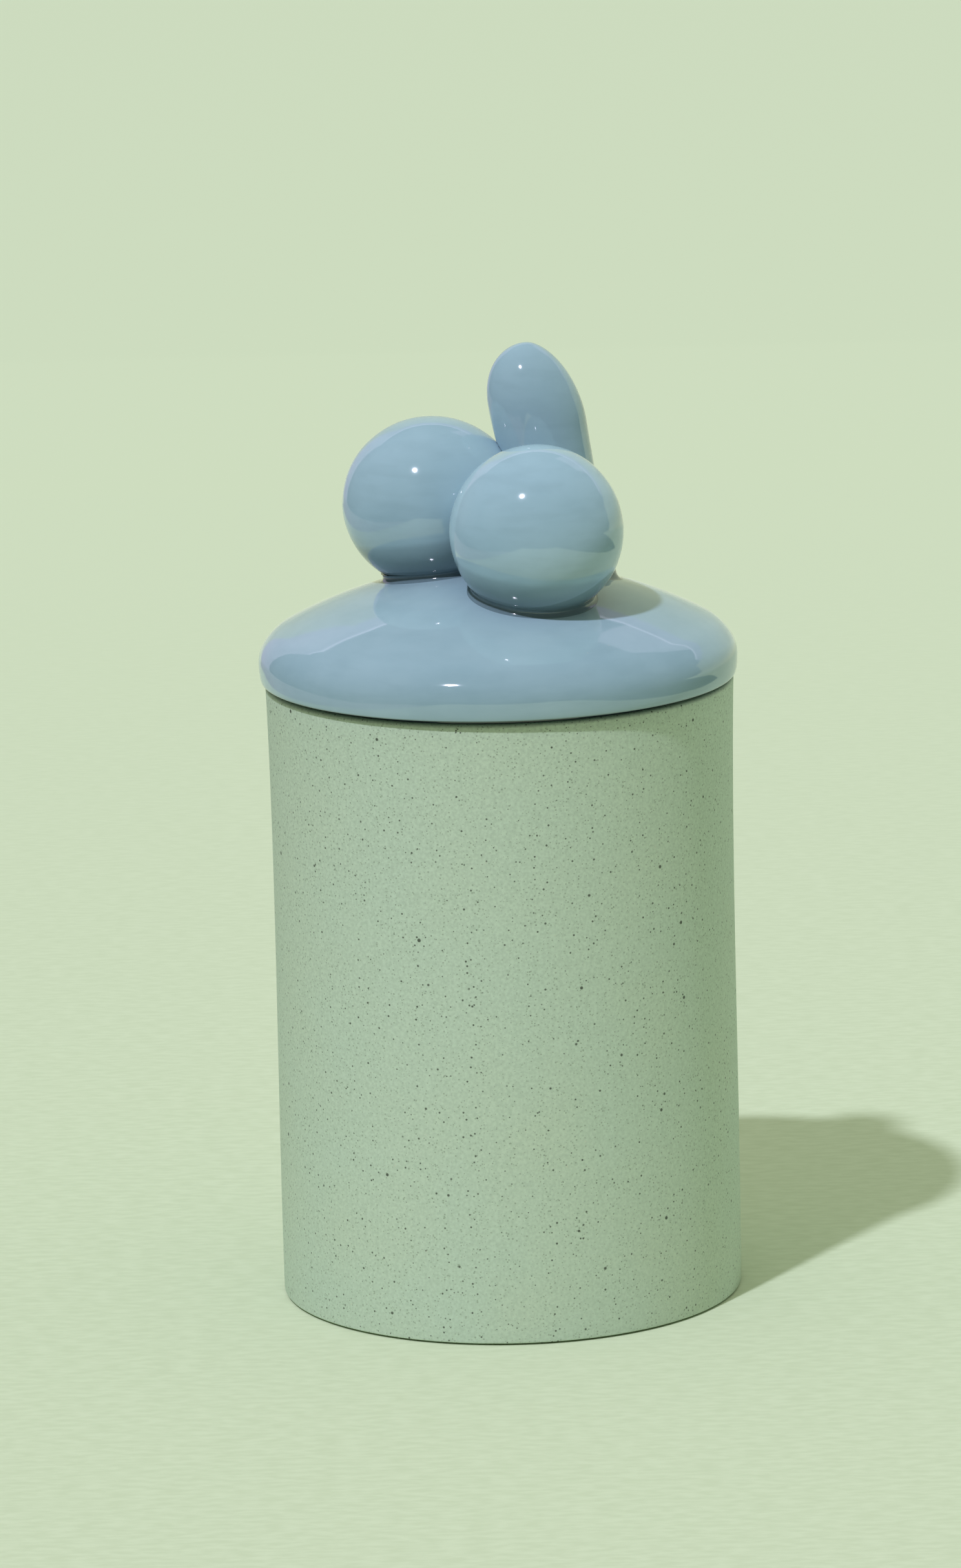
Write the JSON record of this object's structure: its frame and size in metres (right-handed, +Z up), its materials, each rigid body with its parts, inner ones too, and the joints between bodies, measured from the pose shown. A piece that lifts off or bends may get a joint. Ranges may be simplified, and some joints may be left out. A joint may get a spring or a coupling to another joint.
{
  "type": "lidded jar",
  "caption": "Straight-sided stoneware storage jar with a lift-off domed glazed lid, whose handle is a cluster of rounded clay balls and a tall leaning pebble.",
  "frame": {"origin": "under the centre of the lid, on the surface that the jar stands on; the loose lid lies 1.1 mm off the jar's own centre, as in the picture", "axes": "+Z up along the jar's axis, -Y to the front of the picture, +X to its right"},
  "size_m": [0.103, 0.103, 0.2068],
  "materials": {
    "stoneware": "matte speckled sage-green stoneware",
    "lid_glaze": "glossy blue-grey glaze",
    "knob_glaze": "glossy blue-grey glaze"
  },
  "bodies": {
    "jar": {"jar_body": "stoneware"},
    "lid": {"lid_dome": "lid_glaze", "lid_flange": "stoneware", "left_ball": "knob_glaze", "left_collar": "knob_glaze", "front_ball": "knob_glaze", "front_collar": "knob_glaze", "pebble": "knob_glaze", "pebble_collar": "knob_glaze"}
  },
  "joints": [
    {"name": "lid_lift", "type": "slide", "parent": "jar", "child": "lid", "axis": [0, 0, 1], "range_m": [0, 0.1]}
  ]
}
